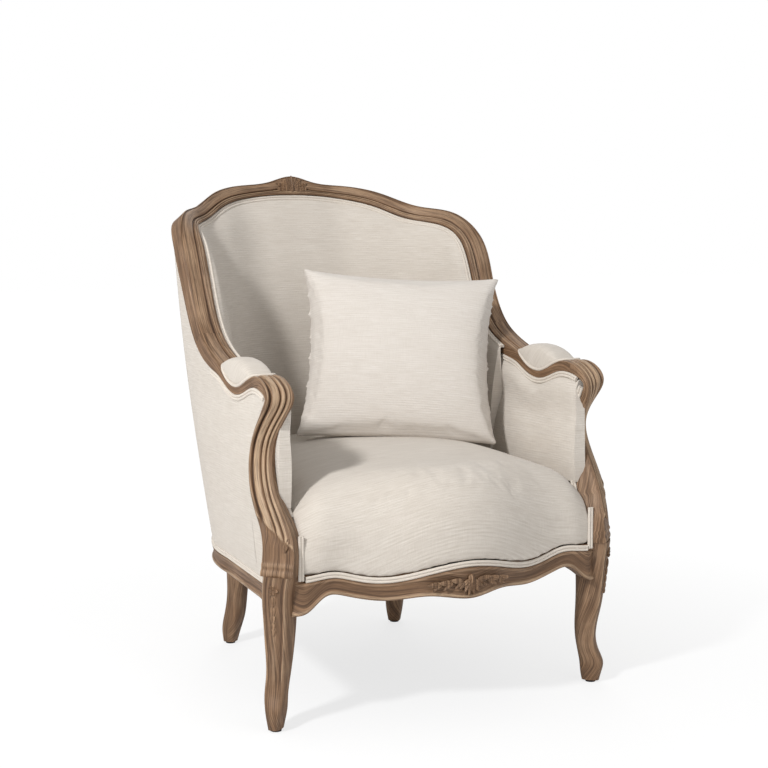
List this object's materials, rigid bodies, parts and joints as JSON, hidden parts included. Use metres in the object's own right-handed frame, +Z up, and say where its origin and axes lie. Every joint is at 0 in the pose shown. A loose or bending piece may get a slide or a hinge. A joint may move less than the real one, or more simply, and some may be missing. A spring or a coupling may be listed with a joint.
{
  "type": "bergere chair",
  "caption": "Upholstered tub armchair with a moulded and carved wooden show frame, cabriole front legs, sprung seat, armrest pads and a loose scatter cushion",
  "frame": {"origin": "on the floor, under the middle of the chair's bounding box", "axes": "+X is the sitter's left, -Y is the way the sitter faces, +Z is up"},
  "size_m": [0.737, 0.8485, 0.9983],
  "materials": {
    "show_wood": "limed oak, grain and carving filled with pale wax",
    "frame_wood": "sawn beech, unfinished",
    "steel": "plain steel wire and screws",
    "glide": "hard felt and nylon glide",
    "under_cloth": "black woven lining cloth",
    "filling": "foam and wadding",
    "welt": "double piping of the cover linen",
    "linen": "greige slub linen"
  },
  "bodies": {
    "chair": {"arm_post_left": "show_wood", "arm_post_right": "show_wood", "arm_rail_left": "show_wood", "arm_rail_right": "show_wood", "arm_tack_rail_left": "frame_wood", "arm_tack_rail_right": "frame_wood", "arm_welt_left": "welt", "arm_welt_right": "welt", "armrest_pad_left": "linen", "armrest_pad_right": "linen", "back_stile_left": "show_wood", "back_stile_right": "show_wood", "back_tack_rail": "frame_wood", "back_upright_left": "frame_wood", "back_upright_right": "frame_wood", "back_welt": "welt", "block_screws": "steel", "crest_rail": "show_wood", "dust_cover": "under_cloth", "floor_glides": "glide", "frame_dowels": "frame_wood", "front_corner_block_left": "frame_wood", "front_corner_block_right": "frame_wood", "front_leg_left": "show_wood", "front_leg_right": "show_wood", "front_welt": "welt", "inside_arm_left": "linen", "inside_arm_right": "linen", "inside_back": "linen", "outside_arm_left": "linen", "outside_arm_right": "linen", "outside_back": "linen", "outside_welt": "welt", "post_welt_left": "welt", "post_welt_right": "welt", "rear_corner_block_left": "frame_wood", "rear_corner_block_right": "frame_wood", "rear_leg_left": "show_wood", "rear_leg_right": "show_wood", "seat_core": "filling", "seat_cover": "linen", "seat_deck": "under_cloth", "seat_rail_back": "show_wood", "seat_rail_front": "show_wood", "seat_rail_left": "show_wood", "seat_rail_right": "show_wood", "seat_springs": "steel", "side_stay_left": "frame_wood", "side_stay_right": "frame_wood", "spring_clips": "steel"},
    "cushion": {"cushion_cover": "linen", "cushion_insert": "filling"}
  },
  "joints": [
    {"name": "cushion_lift", "type": "slide", "parent": "chair", "child": "cushion", "axis": [0, 0, 1], "range_m": [0, 0.6]}
  ]
}
